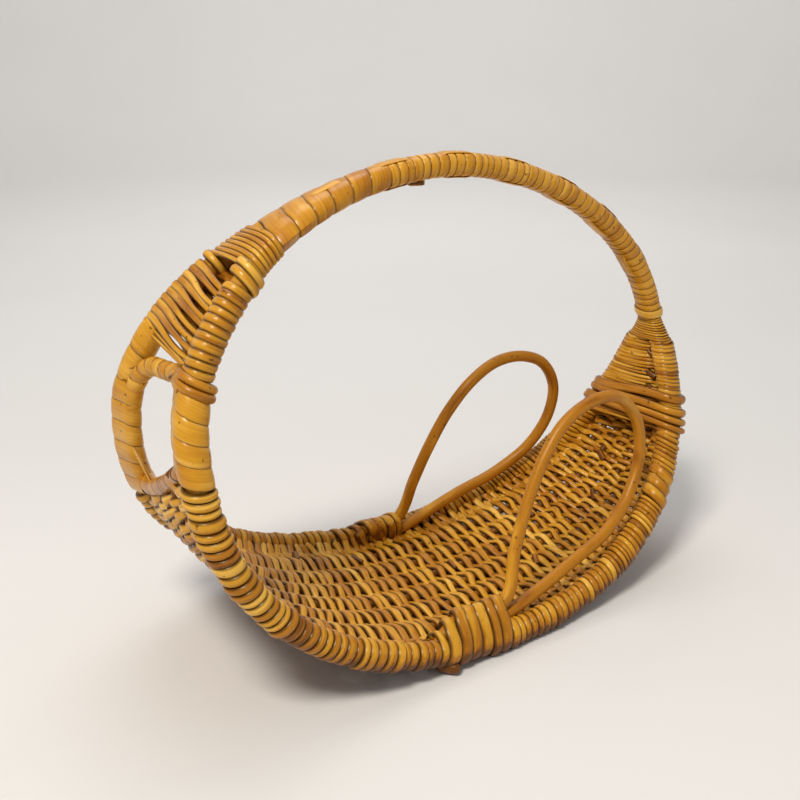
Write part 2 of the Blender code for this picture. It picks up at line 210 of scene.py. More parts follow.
def rod_radius(angle):
    """The hoops are shaved thinner where they lie together."""
    taper = ROD_TAPER * (half_width(angle) - HANDLE_HALF_GAP)
    return np.minimum(HANDLE_ROD_RADIUS + taper, RIM_ROD_RADIUS)


def lean(angle):
    """How much a section across the hoops stretches a rod that runs askew to it."""
    before, after = angle - NUDGE, angle + NUDGE
    drift = half_width(after) - half_width(before)
    return np.hypot(1, drift / (length_at(after) - length_at(before)))


def outward(angle):
    """World direction away from the inside of the hoops."""
    step = outline(np.asarray(angle) + NUDGE) - outline(np.asarray(angle) - NUDGE)
    step = step / np.hypot(*step)
    return np.stack([step[1], np.zeros_like(step[0]), -step[0]], axis=-1)


def spot(angle, y, out=0.0):
    """World points at angles round the hoops, y across and out from their centre line."""
    angle = np.asarray(angle, float)
    middle = outline(angle)
    y = np.broadcast_to(np.asarray(y, float), angle.shape)
    base = np.stack([middle[0] + HOOP_SHIFT, y, middle[1] + CENTRE_HEIGHT], axis=-1)
    return base + outward(angle) * np.asarray(out, float)[..., None]


def ease(value, start, end):
    """Smooth step from 0 at start to 1 at end."""
    share = np.clip((value - start) / (end - start), 0, 1)
    return share * share * (3 - 2 * share)


def dish(angle, share):
    """How far the woven sheet hangs outside the plane of the rims."""
    depth = FLOOR_DISH + (BACK_DISH - FLOOR_DISH) * ease(angle, BACK_DISH_START, BACK_DISH_FULL)
    return depth * (1 - share * share)


# ---------------------------------------------------------------- strands

def circle(count):
    """Points round a unit circle."""
    turn = np.linspace(0, 2 * pi, count, endpoint=False)
    return np.stack([np.cos(turn), np.sin(turn)], axis=1)


# Sections: (across, along the normal), as shares of half the width and half the thickness
WILLOW = circle(12)
ROD = circle(20)
SKEIN = np.array([(-1, -0.7), (-0.97, -0.1), (-0.8, 0.45), (-0.45, 0.82), (0, 1), (0.45, 0.82),
                  (0.8, 0.45), (0.97, -0.1), (1, -0.7), (0.5, -1), (-0.5, -1)])[::-1]
# Section of a wide band: share of half the width, share of the thickness off what it is wound on
PROFILE = np.array([(-1, 0.1), (-0.9, 0.5), (-0.6, 0.82), (0, 1.0), (0.6, 0.93), (0.88, 0.76),
                    (0.97, 0.5), (1, 0.1), (0.96, -0.3), (0, -0.3), (-0.96, -0.3)])
GROUND_CLEARANCE = 0.02 * MM
SHORTEST_GAP = 1e-5
TINY = 1e-12
TONE_SPREAD = 0.05
SHARP_ANGLE = 50
BAND_OVERLAP = 1.02
ROD_NORMAL = (0.13, 0.98, 0.17)  # directions that no rod runs along
COIL_NORMAL = (0.31, 0.2, 0.93)


def smooth(rows, step):
    """Rows (x, y, z, ...) resampled every step along a smooth curve through them."""
    rows = np.asarray(rows, float)
    gaps = np.maximum(np.linalg.norm(np.diff(rows[:, :3], axis=0), axis=1), SHORTEST_GAP)
    knots = np.concatenate([[0], np.cumsum(gaps)])
    slopes = np.diff(rows, axis=0) / gaps[:, None]
    tangents = np.empty_like(rows)
    tangents[0], tangents[-1] = slopes[0], slopes[-1]
    before, after = gaps[:-1, None], gaps[1:, None]
    tangents[1:-1] = (slopes[:-1] * after + slopes[1:] * before) / (before + after)
    count = max(int(round(knots[-1] / step)), 2) + 1
    where = np.linspace(0, knots[-1], count)
    index = np.clip(np.searchsorted(knots, where, side="right") - 1, 0, len(gaps) - 1)
    size = gaps[index][:, None]
    t = (where - knots[index])[:, None] / size
    return ((2 * t ** 3 - 3 * t ** 2 + 1) * rows[index]
            + (t ** 3 - 2 * t ** 2 + t) * size * tangents[index]
            + (3 * t ** 2 - 2 * t ** 3) * rows[index + 1]
            + (t ** 3 - t ** 2) * size * tangents[index + 1])


class Piece:
    """Gathers swept strands into one mesh."""

    def __init__(self):
        self.points, self.faces, self.grain, self.tone, self.edge = [], [], [], [], []
        self.count = 0

    def sweep(self, rows, section, tone, closed=False, blunt=0.75, edges=1.0):
        """Add one strand: rows of (x, y, z, normal xyz, width, thickness).

        blunt is the share of its size that an end keeps, and edges how far painted shade darkens its sides,
        in the crevices between strands.
        """
        path, normal, width, thick = rows[:, :3], rows[:, 3:6], rows[:, 6:7], rows[:, 7:8]
        if closed:
            tangent = np.roll(path, -1, axis=0) - np.roll(path, 1, axis=0)
        else:
            tangent = np.gradient(path, axis=0)
        tangent /= np.linalg.norm(tangent, axis=1)[:, None] + TINY
        normal = normal - tangent * np.sum(normal * tangent, axis=1)[:, None]
        normal /= np.linalg.norm(normal, axis=1)[:, None] + TINY
        across = np.cross(tangent, normal)
        if not closed:
            ends = np.ones((len(path), 1))
            ends[0] = ends[-1] = blunt
            width, thick = width * ends, thick * ends
        u, v = section[:, 0], section[:, 1]
        ring = (path[:, None, :] + across[:, None, :] * (u[None, :, None] * width[:, None, :] / 2)
                + normal[:, None, :] * (v[None, :, None] * thick[:, None, :] / 2))
        self.rings(ring, u, tone, closed, 0.0 if section is ROD else edges)

    def rings(self, ring, u, tone, closed=False, edges=1.0):
        """Add a tube of rings, whose points lie at u across the strand; nothing dips below the ground."""
        ring[..., 2] = np.maximum(ring[..., 2], GROUND_CLEARANCE)
        n, m = ring.shape[:2]
        path = ring.mean(axis=1)
        along = np.concatenate([[0], np.cumsum(np.linalg.norm(np.diff(path, axis=0), axis=1))])
        seed = rng.uniform(0, 100)
        self.points.append(ring.reshape(-1, 3))
        self.grain.append(np.stack([np.repeat(along, m), np.tile(u, n), np.full(n * m, seed)], axis=1))
        self.tone.append(np.full(n * m, tone + rng.normal(0, TONE_SPREAD)))
        # How near each point lies to the strand's sides, which sets the painted shade in the crevices
        # between strands
        self.edge.append(np.tile(np.abs(u) * edges, n))
        base = self.count
        i = np.arange(n if closed else n - 1)[:, None]
        j = np.arange(m)[None, :]
        a = base + i * m + j
        b = base + i * m + (j + 1) % m
        c = base + (i + 1) % n * m + (j + 1) % m
        d = base + (i + 1) % n * m + j
        self.faces.extend(np.stack([a, b, c, d], axis=-1).reshape(-1, 4).tolist())
        self.count += n * m
        if not closed:
            self.faces.append([base + k for k in range(m)][::-1])
            self.faces.append([base + (n - 1) * m + k for k in range(m)])

    def build(self, name, material, slot, cad_node):
        """Make the object, which rides on the root body in place of a CAD node."""
        mesh = bpy.data.meshes.new(name)
        mesh.from_pydata(np.concatenate(self.points).tolist(), [], self.faces)
        for key, kind, field, values in (("grain", "FLOAT_VECTOR", "vector", self.grain),
                                         ("tone", "FLOAT", "value", self.tone),
                                         ("edge", "FLOAT", "value", self.edge)):
            data = mesh.attributes.new(key, kind, "POINT").data
            data.foreach_set(field, np.concatenate(values).ravel())
        mesh.polygons.foreach_set("use_smooth", np.ones(len(mesh.polygons), bool))
        mesh.set_sharp_from_angle(angle=radians(SHARP_ANGLE))
        mesh.materials.append(material)
        thing = bpy.data.objects.new(name, mesh)
        bpy.context.scene.collection.objects.link(thing)
        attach(thing, "root")
        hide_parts(cad_node)


def lay(rows, step=1.2 * MM):
    """World rows from hoop rows of (angle, y, out, normal y, normal out, width, thickness)."""
    angle, y, out, normal_y, normal_out, width, thick = np.array(rows, float).T
    normal = outward(angle) * normal_out[:, None]
    normal[:, 1] += normal_y
    world = np.hstack([spot(angle, y, out), normal, width[:, None], thick[:, None]])
    return smooth(world, step)


def rod(path, radius):
    """Rows of a round rod along world points, with one radius or one for each point."""
    path = np.asarray(path, float)
    rows = np.zeros((len(path), 8))
    rows[:, :3] = path
    rows[:, 3:6] = ROD_NORMAL
    rows[:, 6:8] = 2 * np.broadcast_to(radius, len(path))[:, None]
    return rows


# ---------------------------------------------------------------- what strands wind round

def rod_circle(angle, side):
    """A hoop's section, as (y, out, radius)."""
    return side * half_width(angle), 0.0, rod_radius(angle) * lean(angle)


def leg_circle(angle, side, leg):
    """Section of a loop's leg bound on the rim: it comes up from beside the rim."""
    inwards, upwards = leg[side]
    start = LOOP_BOUND[side][0]
    risen = ease(angle, start + LEG_RISE_START, start + LEG_RISE_END)
    inset = inwards * (LEG_INSET + (1 - LEG_INSET) * risen)
    return side * (half_width(angle) - inset), -upwards * risen, LOOP_RADIUS


def ring_reach(angle):
    """Distance of the ring's legs from the middle plane."""
    return half_width(angle) - RIM_ROD_RADIUS - RING_GAP - RING_RADIUS


def ring_circle(angle, side):
    """Section of the neck ring where it lies against a post."""
    return side * ring_reach(angle), 0.0, RING_RADIUS


def one_rod(side):
    """Section of one hoop."""
    return lambda angle: [rod_circle(angle, side)]


def both_rods(angle):
    """Sections of both hoops."""
    return [rod_circle(angle, -1), rod_circle(angle, 1)]


def post(side):
    """Sections of a post and the neck ring's leg beside it."""
    return lambda angle: [rod_circle(angle, side), ring_circle(angle, side)]


def bound_rim(side):
    """Sections of the rim with both of the loop's legs."""
    return lambda angle: [rod_circle(angle, side), leg_circle(angle, side, LOWER_LEG),
                          leg_circle(angle, side, UPPER_LEG)]


def hull(circles_at):
    """Taut turn round sections: a function from (angle, direction, side, lift) to (y, out, ny, nout).

    The direction is in degrees: 0 is outward, 90 is towards the side.
    """
    def find(angle, direction, side, lift):
        toward = side * sin(radians(direction)), cos(radians(direction))
        y, out, radius = max(circles_at(angle), key=lambda c: c[0] * toward[0] + c[1] * toward[1] + c[2])
        return y + toward[0] * (radius + lift), out + toward[1] * (radius + lift), *toward

    return find


def handle_oval(angle, direction, side, lift):
    """The same function for the handle's wrapped core, a rounded oval."""
    wide = half_width(angle) + rod_radius(angle) * lean(angle) + CORE_SIDE_COVER
    high = max(CORE_HALF_HEIGHT, rod_radius(angle) + CORE_TOP_COVER)
    toward = side * sin(radians(direction)), cos(radians(direction))
    reach = (abs(toward[0] / wide) ** OVAL_POWER + abs(toward[1] / high) ** OVAL_POWER) ** (-1 / OVAL_POWER)
    y, out = toward[0] * reach, toward[1] * reach
    slope = (np.sign(y) * abs(y / wide) ** (OVAL_POWER - 1) / wide,
             np.sign(out) * abs(out / high) ** (OVAL_POWER - 1) / high)
    size = np.hypot(*slope)
    return y + slope[0] / size * lift, out + slope[1] / size * lift, slope[0] / size, slope[1] / size


def wound(count, first, last):
    """First and last direction of a strip that makes count bands, each crossing direction 90."""
    return 90 - 180 - first, 90 + 360 * (count - 1) + 180 + last


def turns(find, side, centres, widths, thick, first=0.0, last=0.0, steps=16, lift=0.2 * MM):
    """Hoop rows of a strip wound round a section: band k crosses direction 90 at centres[k].

    first and last are how far past a whole turn the strip starts and ends, in degrees.
    """
    centres = np.asarray(centres, float)
    count = len(centres)
    if count > 1:
        pitch0, pitch1 = centres[1] - centres[0], centres[-1] - centres[-2]
    else:
        pitch0 = pitch1 = widths[0]
    start, end = wound(count, first, last)
    marks = 90 + 360 * np.arange(-1, count + 1)
    centres = np.concatenate([[centres[0] - pitch0], centres, [centres[-1] + pitch1]])
    widths = np.concatenate([[widths[0]], widths, [widths[-1]]])
    rows = []
    for direction in np.linspace(start, end, int((end - start) / 360 * steps) + 1):
        angle = angle_at(np.interp(direction, marks, centres))
        width = np.interp(direction, marks, widths)
        rows.append((angle, *find(angle, direction, side, lift + thick / 2), width, thick))
    return rows


def wide_bands(piece, find, centres, widths, thick, tone, past=0.0, steps=24, lift=0.1 * MM):
    """Wide strip wound tight round a section, its whole width hugging what it is wound on.

    past is how far past a whole turn the strip starts and ends, in degrees.
    """
    rows = turns(find, -1, centres, widths, thick, past, past, steps, 0.0)
    directions = np.linspace(*wound(len(centres), past, past), len(rows))
    rings = []
    for row, direction in zip(rows, directions):
        middle, width = length_at(row[0]), row[5]
        angles = angle_at(middle + PROFILE[:, 0] * width / 2)
        found = [find(a, direction, -1, lift + level * thick)[:2] for a, level in zip(angles, PROFILE[:, 1])]
        y, out = np.array(found).T
        rings.append(spot(angles, y, out))
    piece.rings(np.array(rings), PROFILE[:, 0], tone)


def spread_bands(start, end, pitch, jitter):
    """Centres and widths of bands along the hoop between two angles, a little uneven."""
    begin, finish = float(length_at(start)), float(length_at(end))
    count = max(int(round((finish - begin) / pitch)), 1)
    sizes = 1 + jitter * rng.uniform(-1, 1, count)
    edges = begin + np.concatenate([[0], np.cumsum(sizes)]) / sizes.sum() * (finish - begin)
    return (edges[1:] + edges[:-1]) / 2, np.diff(edges) * BAND_OVERLAP


def coil(piece, path, radius, pitch, width, thick, tone):
    """Strip wound round a free rod that follows path."""
    path = smooth(path, 0.6 * MM)
    tangent = np.gradient(path, axis=0)
    tangent /= np.linalg.norm(tangent, axis=1)[:, None]
    normal = np.cross(tangent, COIL_NORMAL)
    normal /= np.linalg.norm(normal, axis=1)[:, None]
    other = np.cross(tangent, normal)
    lengths = np.concatenate([[0], np.cumsum(np.linalg.norm(np.diff(path, axis=0), axis=1))])
    total = lengths[-1]
    turn = np.linspace(0, total / pitch, max(int(total / pitch * 14), 3))
    middle, e1, e2 = (np.stack([np.interp(turn * pitch, lengths, line[:, k]) for k in range(3)], axis=1)
                      for line in (path, normal, other))
    angle = 2 * pi * turn[:, None]
    out = e1 * np.cos(angle) + e2 * np.sin(angle)
    rows = np.hstack([middle + out * (radius + thick / 2), out,
                      np.full((len(turn), 1), width), np.full((len(turn), 1), thick)])
    piece.sweep(smooth(rows, 1.0 * MM), SKEIN, tone)


# ---------------------------------------------------------------- materials

STRAW = (0.82, 0.46, 0.07)
GOLD = (0.66, 0.31, 0.02)
HONEY = (0.47, 0.18, 0.008)
AMBER = (0.32, 0.105, 0.005)
BROWN = (0.14, 0.042, 0.004)
# Dark colour of the painted shade at the strands' sides, and of the flecks
UMBER = (0.045, 0.016, 0.003)
LOW_SHADE_TOP, LOW_SHADE_BOTTOM = 0.04, 0.004  # heights in metres between which the painted shade under the basket comes in, darkest at the bottom
SHADE_FACING_START, SHADE_FACING_FULL = 0.55, -0.5  # upward part of the normal between which the painted shade comes in, fullest on faces turned down
FLECK_START, FLECK_FULL = 0.70, 0.78


def node(tree, kind, inputs=None, **settings):
    """Add a node, with its settings, and its inputs as values or as sockets to link."""
    made = tree.nodes.new(kind)
    for key, value in settings.items():
        setattr(made, key, value)
    for key, value in (inputs or {}).items():
        if isinstance(value, bpy.types.NodeSocket):
            tree.links.new(value, made.inputs[key])
        else:
            made.inputs[key].default_value = value
    return made


def maths(tree, operation, *values, **settings):
    """Output of a maths node."""
    return node(tree, "ShaderNodeMath", dict(enumerate(values)), operation=operation, **settings).outputs[0]


def remap(tree, value, source, target, **settings):
    """Output of a node that takes one range of values to another, clamped."""
    ends = {"From Min": source[0], "From Max": source[1], "To Min": target[0], "To Max": target[1]}
    return node(tree, "ShaderNodeMapRange", {"Value": value, **ends}, **settings).outputs[0]


def noise(tree, place, scale, detail, **inputs):
    """Output of a noise texture."""
    wired = {"Vector": place, "Scale": scale, "Detail": detail, **inputs}
    return node(tree, "ShaderNodeTexNoise", wired).outputs["Fac"]


def stretched(tree, place, scales):
    """Coordinates scaled differently along each axis."""
    return node(tree, "ShaderNodeVectorMath", {0: place, 1: scales}, operation="MULTIPLY").outputs[0]


def willow_material(name, colours, roughness=(0.26, 0.42), coat=0.25, streak=(70, 3.2), shift=0.0,
                    bump=0.35, edges=(0.66, 0.8), underside_shade=0.0, blotch=1.4):
    """Varnished willow: streaks along the strand, blotches, flecks, painted shade at the sides of each
    strand where strands meet, and painted shade low down on faces turned to the ground.

    colours run from pale to dark. streak is how fine the streaks are along and across the strand,
    shift darkens the whole, edges is where the painted shade at a strand's sides starts and how dark it
    gets, underside_shade is how dark the painted shade low down gets, and blotch is how much one strand
    varies.
    """
    material = bpy.data.materials.new(name)
    material.use_nodes = True
    tree = material.node_tree
    shader = tree.nodes["Principled BSDF"]
    grain, tone, edge = (node(tree, "ShaderNodeAttribute", attribute_name=key).outputs
                         for key in ("grain", "tone", "edge"))
    place = node(tree, "ShaderNodeNewGeometry").outputs

    fine = noise(tree, stretched(tree, grain["Vector"], (*streak, 1.7)), 1.0, 4.0, Roughness=0.62)
    broad = noise(tree, stretched(tree, grain["Vector"], (34, 0.5, 3.1)), 1.0, 2.0)
    streaks = maths(tree, "MULTIPLY_ADD", fine, 0.55, -0.275 + shift)
    blotches = maths(tree, "MULTIPLY_ADD", broad, blotch, -blotch / 2)
    mottle = maths(tree, "ADD", streaks, blotches)

    # Painted shade: faces low down and turned to the ground get a darker tone
    height = node(tree, "ShaderNodeSeparateXYZ", {"Vector": place["Position"]}).outputs["Z"]
    low = remap(tree, height, (LOW_SHADE_BOTTOM, LOW_SHADE_TOP), (underside_shade, 0.0))
    upward = node(tree, "ShaderNodeSeparateXYZ", {"Vector": place["Normal"]}).outputs["Z"]
    under = remap(tree, upward, (SHADE_FACING_START, SHADE_FACING_FULL), (0.0, 1.0))
    shaded_tone = maths(tree, "ADD", tone["Fac"], maths(tree, "MULTIPLY", low, under))
    level = maths(tree, "ADD", mottle, shaded_tone, use_clamp=True)

    ramp = node(tree, "ShaderNodeValToRGB", {"Fac": level})
    stops = ramp.color_ramp.elements
    while len(stops) < len(colours):
        stops.new(0.5)
    for index, colour in enumerate(colours):
        stops[index].position = index / (len(colours) - 1)
        stops[index].color = (*colour, 1)

    # Painted shade in the crevices: each strand darkens towards its sides; the flecks are dark spots in the
    # wood
    crevice_shade = remap(tree, edge["Fac"], (edges[0], 1.0), (0.0, edges[1]), interpolation_type="SMOOTHSTEP")
    fleck = remap(tree, noise(tree, place["Position"], 420.0, 1.0), (FLECK_START, FLECK_FULL), (0.0, 0.75))
    dark = maths(tree, "MAXIMUM", crevice_shade, fleck)
    mix = node(tree, "ShaderNodeMix", {"Factor": dark, "A": ramp.outputs["Color"], "B": (*UMBER, 1)},
               data_type="RGBA")
    tree.links.new(mix.outputs["Result"], shader.inputs["Base Color"])
    tree.links.new(remap(tree, fine, (0.3, 0.7), roughness), shader.inputs["Roughness"])
    relief = node(tree, "ShaderNodeBump", {"Strength": bump, "Distance": 0.0004, "Height": fine})
    tree.links.new(relief.outputs["Normal"], shader.inputs["Normal"])
    shader.inputs["Specular IOR Level"].default_value = 0.38
    shader.inputs["Specular Tint"].default_value = (1.0, 0.82, 0.5, 1)
    shader.inputs["Coat Weight"].default_value = coat
    shader.inputs["Coat Roughness"].default_value = 0.2
    return material


# Only the weave gets the painted shade low down, near the ground
WEAVE = willow_material("weave_willow", (STRAW, GOLD, GOLD, HONEY, HONEY, AMBER, BROWN), underside_shade=1.1,
                        coat=0.14, edges=(0.48, 0.92))
FORK = willow_material("fork_willow", (STRAW, GOLD, HONEY, AMBER, BROWN), edges=(0.45, 0.85))
THICK = willow_material("thick_willow", (GOLD, HONEY, AMBER, BROWN), shift=-0.02)
CANE = willow_material("rattan", (STRAW, GOLD, HONEY, HONEY, AMBER, BROWN), roughness=(0.34, 0.5),
                       coat=0.1, streak=(60, 5.0), bump=0.2)
PEELED = willow_material("peeled_rod", (STRAW, GOLD, HONEY, AMBER, BROWN), roughness=(0.4, 0.6), coat=0.15)
STRIP = willow_material("skein", (STRAW, GOLD, HONEY, AMBER, BROWN), roughness=(0.28, 0.42),
                        streak=(40, 7.0), bump=0.3, edges=(0.78, 0.85), blotch=1.0)


# ---------------------------------------------------------------- rods

def make_rods():
    """The two hoops and the ribs."""
    for name, side in (("near", -1), ("far", 1)):
        angles = np.linspace(0, 360, HOOP_STEPS + 1)[:-1]
        hoop = Piece()
        hoop.sweep(rod(spot(angles, side * half_width(angles)), rod_radius(angles)), ROD, 0.45, closed=True)
        hoop.build(f"hoop_rod_{name}", PEELED, "hoop_rod", f"hoop_{name}")
    for number, share in enumerate(RIBS, start=1):
        start = NEAR_START + (FAR_START - NEAR_START) * (share + 1) / 2 - 2
        angles = evenly(start, LONG_RIB_END if share in LONG_RIBS else SHORT_RIB_END, 90)
        rib = Piece()
        rib.sweep(rod(spot(angles, share * half_width(angles), dish(angles, share)), RIB_RADIUS), ROD, 0.95)
        rib.build(f"rib_rod_{number}", PEELED, "rib_rod", f"rib_{number}")


# ---------------------------------------------------------------- woven trough

def fineness(angle):
    """Size of the strands against those at the neck end: they are thinner up the back."""
    return 1 - FINER_BY * ease(angle, FINER_START, FINER_FULL)


def bundle_at(side, angle):
    """Section function for a turn round the rim, with the loop's legs where they are bound."""
    start, end = LOOP_BOUND[side]
    return hull(bound_rim(side)) if start < angle < end else hull(one_rod(side))


def crossing(index, near, far, width):
    """Hoop rows of one pass over and under the ribs, from the near side to the far side."""
    rows = []
    ribs = np.array(RIBS if (near + far) / 2 < SHORT_RIB_END else LONG_RIBS)
    shares = np.sort(np.concatenate([ribs, (ribs[1:] + ribs[:-1]) / 2, [-BESIDE_RIM, BESIDE_RIM]]))
    for order, share in enumerate(shares):
        over = (order // 2 + 1 + index) % 2 == 0
        drift = rng.normal(0, DRIFT_MM) * MM
        angle = angle_at(length_at(near + (far - near) * (share + 1) / 2) + drift)
        if order % 2 == 1:
            lift = (-LIFT if over else LIFT) * rng.uniform(0.85, 1.1)
            wide = width * fineness(angle) * (rng.uniform(0.9, 1.08) if over else UNDER_WIDTH)
        elif abs(share) == BESIDE_RIM:
            lift, wide = rng.uniform(-0.5, 0.5) * MM, RIM_GAP_WIDTH
        else:
            lift, wide = 0.0, GAP_WIDTH
        rows.append((angle, share * half_width(angle), dish(angle, share) + lift, 0, -1, wide, STRAND_THICK))
    return rows


def rim_bands(evens, pitch_at):
    """For each turn round a rim, the centres and widths of its bands along the hoop."""
    begin, finish = evens[0], evens[-1]
    edges = [begin]
    while edges[-1] < finish:
        edges.append(edges[-1] + pitch_at(angle_at(edges[-1])) * rng.uniform(0.75, 1.25))
    edges = np.array(edges)
    centres, widths = (edges[1:] + edges[:-1]) / 2, np.diff(edges)
    starts = (evens[:-1] + evens[1:]) / 2
    bands = []
    for a, b in zip(np.concatenate([[begin], starts]), np.concatenate([starts, [finish]])):
        inside = (centres >= a) & (centres < b)
        if inside.any():
            bands.append((centres[inside], widths[inside]))
        else:
            bands.append((np.array([(a + b) / 2]), np.array([THIN_BAND])))
    return bands


def rim_pitch(side):
    """Pitch of the bands on a rim: finer up the back, wide where the loop is bound and once near the top."""
    start, end = LOOP_BOUND[side]
    return lambda angle: (5.2 if start < angle < end or side < 0 and 319 < angle < 326
                          else 3.9 - 1.5 * ease(angle, 270, 320)) * MM


def add_cut_ends(piece, low, high):
    """Short stubs of strands that stand up from the sheet where they were joined."""
    for angle, share, turn, size in CUT_ENDS:
        if low <= angle < high:
            rows = []
            for t in np.linspace(-1, 1, 5):
                y = share * half_width(angle) + CUT_HALF_LENGTH * t * cos(radians(turn))
                along = angle_at(length_at(angle) + CUT_HALF_LENGTH * t * sin(radians(turn)))
                out = dish(angle, share) - (2.4 + 0.5 * t) * MM
                rows.append((along, y, out, 0, -1, size * MM, size * 0.8 * MM))
            piece.sweep(lay(rows), WILLOW, 1.0, blunt=0.9)


def make_weave():
    """Strands that go to and fro over and under the ribs, each turn wrapped round the rims."""
    along = np.linspace(length_at(NEAR_START), length_at(WEAVE_END), 2001)
    crowd = np.cumsum(1 / fineness(angle_at(along)))
    near_ends = angle_at(np.interp(np.linspace(crowd[0], crowd[-1], PASSES), crowd, along))
    far_ends = near_ends + (FAR_START - NEAR_START) * (1 - ease(near_ends, NEAR_START, SKEW_END))
    turns_on = {}
    for side, ends, offset in ((1, far_ends, 0), (-1, near_ends, 1)):
        middles = length_at(ends)
        evens = (middles[offset:-1:2] + middles[offset + 1::2]) / 2
        pad = (evens[1] - evens[0]) / 2
        outer = np.concatenate([[evens[0] - pad], evens, [evens[-1] + pad]])
        turns_on[side] = rim_bands(outer, rim_pitch(side))[1:-1]
    group = PASSES // WEAVERS + 1
    piece, made, reached, rows = Piece(), 0, NEAR_START, []
    for index in range(PASSES):
        side = 1 if index % 2 == 0 else -1
        passed = crossing(index, near_ends[index], far_ends[index], rng.uniform(3.3, 5.2) * MM)
        rows += passed[::side]
        bands = turns_on[side]
        if index + 1 < PASSES and index // 2 < len(bands):
            centres, widths = bands[index // 2]
            find = bundle_at(side, float(angle_at(centres.mean())))
            thick = rng.uniform(2.2, 3.3) * MM
            rows += turns(find, side, centres, widths * TURN_OVERLAP, thick, RIM_TURN_PAST, RIM_TURN_PAST,
                          lift=RIM_TURN_SINK)
        done = (index + 1) % group == 0 or index + 1 == PASSES
        if index % 2 == 1 or done:
            middle_tone = 0.38 + 0.04 * ease(near_ends[index], FINER_START, FINER_FULL)
            piece.sweep(lay(rows), WILLOW, float(np.clip(rng.normal(middle_tone, 0.15), 0.05, 0.95)))
            rows = []
        if done:
            made += 1
            add_cut_ends(piece, reached, near_ends[index])
            reached = near_ends[index]
            piece.build(f"woven_strands_{made:02d}", WEAVE, "weaver_willow", f"weaver_{made:02d}")
            piece = Piece()


# ---------------------------------------------------------------- handle

def make_handle():
    """Bands round the handle, one raised band at its right end and a nub under it."""
    right = Piece()
    centres, widths = spread_bands(HANDLE_START, HANDLE_WIDE_START, 4.1 * MM, 0.3)
    wide_bands(right, handle_oval, centres, widths * 1.04, BAND_THICK, 0.34, lift=-0.1 * MM)
    wide_bands(right, handle_oval, [length_at(371.4)], [4.6 * MM], BAND_THICK, 0.2, 10, lift=0.7 * MM)
    right.build("handle_bands_right", STRIP, "skein", "handle_wrap_right")
    left = Piece()
    centres, widths = spread_bands(HANDLE_WIDE_START, HANDLE_END, 9.2 * MM, 0.1)
    wide_bands(left, handle_oval, centres, widths * 1.04, BAND_THICK, 0.48)
    nub = [(NUB_AT + 1.2 * t, 2.4 * MM * t, -5.8 * MM, 0, 1, 3.6 * MM, 2.8 * MM)
           for t in np.linspace(-1, 1, 5)]
    left.sweep(lay(nub), WILLOW, 0.5)
    left.build("handle_bands_left", STRIP, "skein", "handle_wrap_left")


def make_leaders():
    """Lengthwise strips on top of and under the handle, woven over and under groups of bands."""
    for name, sign, direction in (("top", 1, 0), ("under", -1, 180)):
        leader = Piece()
        rows = []
        for angle in evenly(LEADER_START, LEADER_END, 70):
            level = handle_oval(angle, direction, 1, 0.0)[1]
            wave = np.sin(2 * pi * (length_at(angle) - length_at(LEADER_START)) / LEADER_WAVE)
            out = level + sign * 0.78 * MM * np.clip(1.6 * wave + 0.2, -0.6, 1)
            rows.append((angle, 0.0, out, 0.0, sign, 6.4 * MM, 0.7 * MM))
        leader.sweep(lay(rows), SKEIN, 0.3, edges=0.7)
        leader.build(f"leader_{name}", STRIP, "leader_strip", f"handle_leader_{name}")


# ---------------------------------------------------------------- forks

def figure_eight(piece, near, far, widths, thick, tone, waist, relief):
    """Strand in figures of eight between the hoops: turn k crosses each rod at near[k] and far[k].

    waist is the share of its width that it keeps between the hoops, and relief how uneven its thickness is.
    """
    slants = [0.4 * abs(length_at(marks[1]) - length_at(marks[0])) for marks in (near, far)]
    press = thick / 2 - 0.1 * MM
    for index in range(len(near)):
        rows = []
        width = widths[index]
        depth = thick * (1 + relief * rng.uniform(-1, 1))
        for side, marks, slant in zip((-1, 1), (near, far), slants):
            radius = rod_radius(marks[index]) + thick
            tuck = np.degrees(np.arcsin(min(radius / half_width(marks[index]), 0.9)))
            for direction in np.linspace(-tuck, 180 + tuck, 9):
                angle = angle_at(length_at(marks[index]) + (direction - 90) / 180 * slant)
                y, out, ny, nout = hull(one_rod(side))(angle, 180 - direction, side, press)
                rows.append((angle, y, out, ny * side, nout * side, width, depth))
            if side < 0:
                angle = 0.65 * near[index] + 0.35 * far[index]
                rows.append((angle, rng.uniform(-0.42, -0.2) * half_width(angle), -0.5 * radius, 0.0, -1.0,
                             width * 0.85 * waist, depth))
            elif index + 1 < len(near):
                angle = 0.68 * near[index + 1] + 0.32 * far[index] + rng.normal(0, 0.15)
                rows.append((angle, rng.uniform(-0.5, -0.2) * half_width(angle),
                             rng.uniform(0.3, 0.6) * radius, 0.0, 1.0, width * 0.78 * waist, depth))
                angle = near[index + 1]
                y, out, ny, nout = hull(one_rod(-1))(angle, 180 + tuck, -1, press)
                rows.append((angle, y, out, -ny, -nout, width * 0.8, depth))
        piece.sweep(lay(rows, 0.9 * MM), WILLOW, float(np.clip(rng.normal(tone, 0.09), 0.05, 0.9)))


